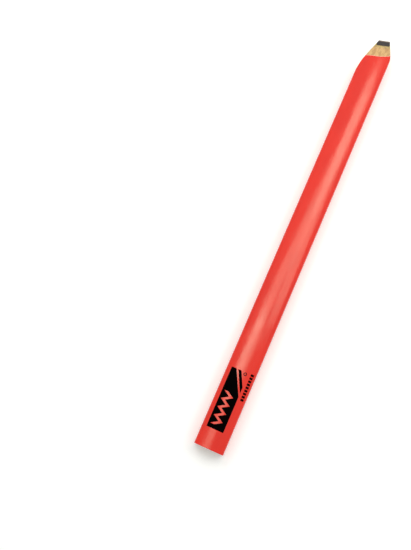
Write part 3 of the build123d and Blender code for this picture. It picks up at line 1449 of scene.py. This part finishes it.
@dataclass
class StampedFaceMarks:
    """The gold emblem, lozenges and dotted band, and the block of dark bars on the underside."""

    form: BarrelForm
    emblem_x: float = 64.0
    emblem_radius: float = 1.5
    emblem_line: float = 0.35
    emblem_diamond: float = 1.2
    chevrons: int = 6
    chevron_pitch: float = 2.6
    chevron_size: float = 2.6
    chevron_line: float = 0.55
    lozenges: int = 2
    lozenge_pitch: float = 2.6
    lozenge_x: float = 42.5
    lozenge_size: float = 1.7
    band_x: float = 20.7
    band_length: float = 20.0
    band_width: float = 2.7
    band_line: float = 0.3
    band_dots: int = 9
    dot_radius: float = 0.4
    bars_x: float = -36.8
    bars: int = 26
    bar_pitch: float = 1.4
    bar_width: float = 0.7
    bar_length: float = 3.5
    captions: int = 22
    caption_pitch: float = 1.55
    caption_length: float = 0.9
    caption_width: float = 1.1
    caption_gap: float = 0.5

    def _diamond(self, stamp: Stamp, x: float, size: float) -> bpy.types.Object:
        """Cut a square sheet that stands on its corner.

        Args:
            stamp: The stamping tools.
            x: Its middle along the barrel, in millimetres.
            size: Length of its sides.

        Returns:
            The flat sheet.
        """
        reach = size / math.sqrt(2)
        sheet = stamp.sheet(x, 0, 2 * reach, 2 * reach)
        for along in (-1, 1):
            for across in (-1, 1):
                away = Vector((along, across, 0)).normalized()
                stamp.trim(sheet, Vector((x, 0, 0)) + away * size / 2, away)
        return sheet

    def _chevron(self, stamp: Stamp, x: float) -> bpy.types.Object:
        """Cut a chevron that points to the tip.

        Args:
            stamp: The stamping tools.
            x: Its middle along the barrel, in millimetres.

        Returns:
            The flat sheet.
        """
        height = self.chevron_size * math.sqrt(3) / 2
        half = self.chevron_size / 2
        nose = Vector((x + height / 2, 0, 0))
        arms = []
        for across in (-1, 1):
            away = Vector((half, across * height, 0)).normalized()
            arm = stamp.sheet(
                x - self.chevron_line / 2, across * half / 2, height + self.chevron_line, half
            )
            stamp.trim(arm, nose, away)
            stamp.trim(arm, nose - Vector((self.chevron_line, 0, 0)), -away)
            stamp.trim(arm, Vector((x - height / 2, 0, 0)), Vector((-1, 0, 0)))
            arms.append(arm)
        return Bench.join("chevron", arms)

    def build(self, stamp: Stamp) -> None:
        """Make and dress the marks of the underside.

        Args:
            stamp: The stamping tools.
        """
        foil = FoilFinish().make()
        dark = InkFinish(
            "dark_print_finish", (0.075, 0.022, 0.018), (0.13, 0.035, 0.026),
            pinholes=0.70, low_gloss=0.38,
        ).make()
        emblem = [
            stamp.disc(self.emblem_x, 0, self.emblem_radius, self.emblem_radius - self.emblem_line),
            self._diamond(stamp, self.emblem_x, self.emblem_diamond),
        ]
        first = self.emblem_x - self.emblem_radius - self.chevron_pitch * self.chevrons / 2
        for chevron in range(self.chevrons):
            along = (chevron - (self.chevrons - 1) / 2) * self.chevron_pitch
            emblem.append(self._chevron(stamp, first + along))
        place_piece(
            stamp.press("emblem_foil", Face.STAMPED, emblem), foil, "gold_foil", "foil_emblem_mark"
        )
        lozenges = [
            self._diamond(
                stamp, self.lozenge_x + (mark - (self.lozenges - 1) / 2) * self.lozenge_pitch,
                self.lozenge_size,
            )
            for mark in range(self.lozenges)
        ]
        place_piece(
            stamp.press("lozenge_foil", Face.STAMPED, lozenges), foil, "gold_foil",
            "foil_lozenge_mark",
        )
        band = [stamp.frame(self.band_x, self.band_length, self.band_width, self.band_line)]
        dot_pitch = self.band_length / (self.band_dots + 1)
        for dot in range(self.band_dots):
            x = self.band_x + (dot - (self.band_dots - 1) / 2) * dot_pitch
            band.append(stamp.disc(x, 0, self.dot_radius))
        place_piece(
            stamp.press("band_foil", Face.STAMPED, band), foil, "gold_foil", "foil_band_mark"
        )
        bars = [
            stamp.sheet(
                self.bars_x + (bar - (self.bars - 1) / 2) * self.bar_pitch, 0,
                self.bar_width, self.bar_length,
            )
            for bar in range(self.bars)
        ]
        place_piece(
            stamp.press("bar_print", Face.STAMPED, bars), dark, "dark_print", "bar_block_print"
        )
        rows = (self.bar_length + self.caption_gap + self.caption_width) / 2
        captions = [
            stamp.sheet(
                self.bars_x + (dash - (self.captions - 1) / 2) * self.caption_pitch, row,
                self.caption_length, self.caption_width,
            )
            for row in (-rows, rows)
            for dash in range(self.captions)
        ]
        place_piece(
            stamp.press("caption_print", Face.STAMPED, captions), dark, "dark_print",
            "caption_dash_print",
        )


# ---------------------------------------------------------------------------------------------
# Studio
# ---------------------------------------------------------------------------------------------


@dataclass
class Studio:
    """The paper, the lights and the camera."""

    form: BarrelForm
    lens: float = 45.82
    azimuth: float = -56.25
    elevation: float = 77.20
    roll: float = -10.16
    aim: Colour = (-30.39, 27.28, 3.25)
    distance: float = 268.84
    ceiling: float = 400.0
    sky: float = 0.66
    sky_slope: float = 0.70
    horizon: float = 0.55
    paper_size: float = 4.0
    warm: Colour = (0.93, 0.98, 0.74)
    sky_tint: Colour = (1.0, 1.0, 1.03)
    # Soft lights in the ceiling, as (start, end, width, radiance)
    key_panels: tuple[tuple[Point, Point, float, float], ...] = (
        ((20, 38), (300, -60), 70, 2.85),
        ((26, -62), (300, -22), 66, 2.85),
        ((-160, 37), (-45, 37), 54, 2.65),
        ((-45, 38), (32, 38), 54, 2.6),
        ((-45, 26), (30, 26), 82, 2.8),
    )
    fill_panels: tuple[tuple[Point, Point, float, float], ...] = (
        ((60, 260), (420, 260), 220, 2.6),
        ((60, -260), (420, -260), 220, 2.6),
    )

    def _paper(self) -> None:
        """Lay the paper under the pencil."""
        Bench.clear()
        bpy.ops.mesh.primitive_plane_add(size=self.paper_size, location=(0, 0, 0))
        paper = bpy.context.object
        paper.name = "paper"
        bpy.ops.object.mode_set(mode="EDIT")
        bpy.ops.mesh.select_all(action="SELECT")
        bpy.ops.transform.translate(value=(0, 0, -0.02 * MM))
        Bench.clear()
        paper.data.materials.append(FloorFinish().make())

    def _sky(self) -> None:
        """Fill the room with even light."""
        world = bpy.data.worlds.new("room_light")
        bpy.context.scene.world = world
        world.use_nodes = True
        tree = world.node_tree
        direction = tree.nodes.new("ShaderNodeTexCoord").outputs["Generated"]
        parts = tree.nodes.new("ShaderNodeSeparateXYZ")
        tree.links.new(direction, parts.inputs["Vector"])
        slope = tree.nodes.new("ShaderNodeMath")
        slope.operation = "MULTIPLY_ADD"
        slope.inputs[1].default_value = self.sky_slope
        slope.inputs[2].default_value = self.sky
        tree.links.new(parts.outputs["X"], slope.inputs[0])
        dome = tree.nodes.new("ShaderNodeMapRange")
        dome.inputs["To Min"].default_value = self.horizon
        tree.links.new(parts.outputs["Z"], dome.inputs["Value"])
        tree.links.new(slope.outputs["Value"], dome.inputs["To Max"])
        glow = tree.nodes["Background"]
        glow.inputs["Color"].default_value = (*self.sky_tint, 1.0)
        tree.links.new(dome.outputs["Result"], glow.inputs["Strength"])

    def _panel_light(
        self, name: str, start: Point, end: Point, width: float, radiance: float, height: float
    ) -> bpy.types.Object:
        """Hang a soft rectangular light in the ceiling, facing down.

        Args:
            name: Name of the light.
            start: Where its middle line starts, in millimetres.
            end: Where its middle line ends.
            width: Its width.
            radiance: How bright its surface is, as a share of white.
            height: Its height above the paper, in millimetres.

        Returns:
            The light.
        """
        first, last = Vector((*start, height)), Vector((*end, height))
        lamp = bpy.data.lights.new(name, "AREA")
        lamp.shape = "RECTANGLE"
        lamp.size, lamp.size_y = (last - first).length * MM, width * MM
        lamp.energy = radiance * math.pi * lamp.size * lamp.size_y
        holder = bpy.data.objects.new(name, lamp)
        bpy.context.collection.objects.link(holder)
        side = (last - first).normalized()
        turn = Matrix((side, Vector((0, 0, 1)).cross(side), Vector((0, 0, 1)))).transposed()
        holder.matrix_world = Matrix.Translation((first + last) / 2 * MM) @ turn.to_4x4()
        return holder

    def _camera(self) -> None:
        """Set up the camera above the butt's right edge, with the point at the top of the view."""
        turn, rise, roll = map(math.radians, (self.azimuth, self.elevation, self.roll))
        ground = math.cos(rise)
        back = Vector((math.sin(turn) * ground, -math.cos(turn) * ground, math.sin(rise)))
        level = Vector((math.cos(turn), math.sin(turn), 0))
        upright = back.cross(level)
        right = level * math.cos(roll) + upright * math.sin(roll)
        up = back.cross(right)
        lens = bpy.data.cameras.new("camera")
        lens.lens = self.lens
        lens.sensor_width = 36.0
        lens.clip_start = 0.01
        holder = bpy.data.objects.new("camera", lens)
        bpy.context.collection.objects.link(holder)
        place = (Vector(self.aim) + back * self.distance) * MM
        facing = Matrix((right, up, back)).transposed().to_4x4()
        holder.matrix_world = Matrix.Translation(place) @ facing
        bpy.context.scene.camera = holder

    def build(self) -> None:
        """Set up the whole studio."""
        self._paper()
        self._sky()
        for number, panel in enumerate(self.key_panels):
            light = self._panel_light(f"key_panel_{number}", *panel, self.ceiling + 2 * number)
            light.data.color = self.warm
        for number, panel in enumerate(self.fill_panels):
            light = self._panel_light(f"fill_panel_{number}", *panel, self.ceiling)
            light.visible_glossy = False
        self._camera()
        view = bpy.context.scene.view_settings
        view.view_transform = "Standard"
        view.look = "None"


def main() -> None:
    """Build the pencil and its studio in order, and report each piece."""
    logging.basicConfig(level=logging.INFO, format="%(name)s: %(message)s")
    form = measured_form()
    knife = Knife(form)
    stamp = Stamp(form)
    Casing(form).build(knife)
    Core(form).build(knife)
    PlainFaceMarks(form).build(stamp)
    StampedFaceMarks(form).build(stamp)
    Studio(form).build()
    Bench.clear()
    bpy.context.view_layer.update()


if __name__ == "__main__":
    main()
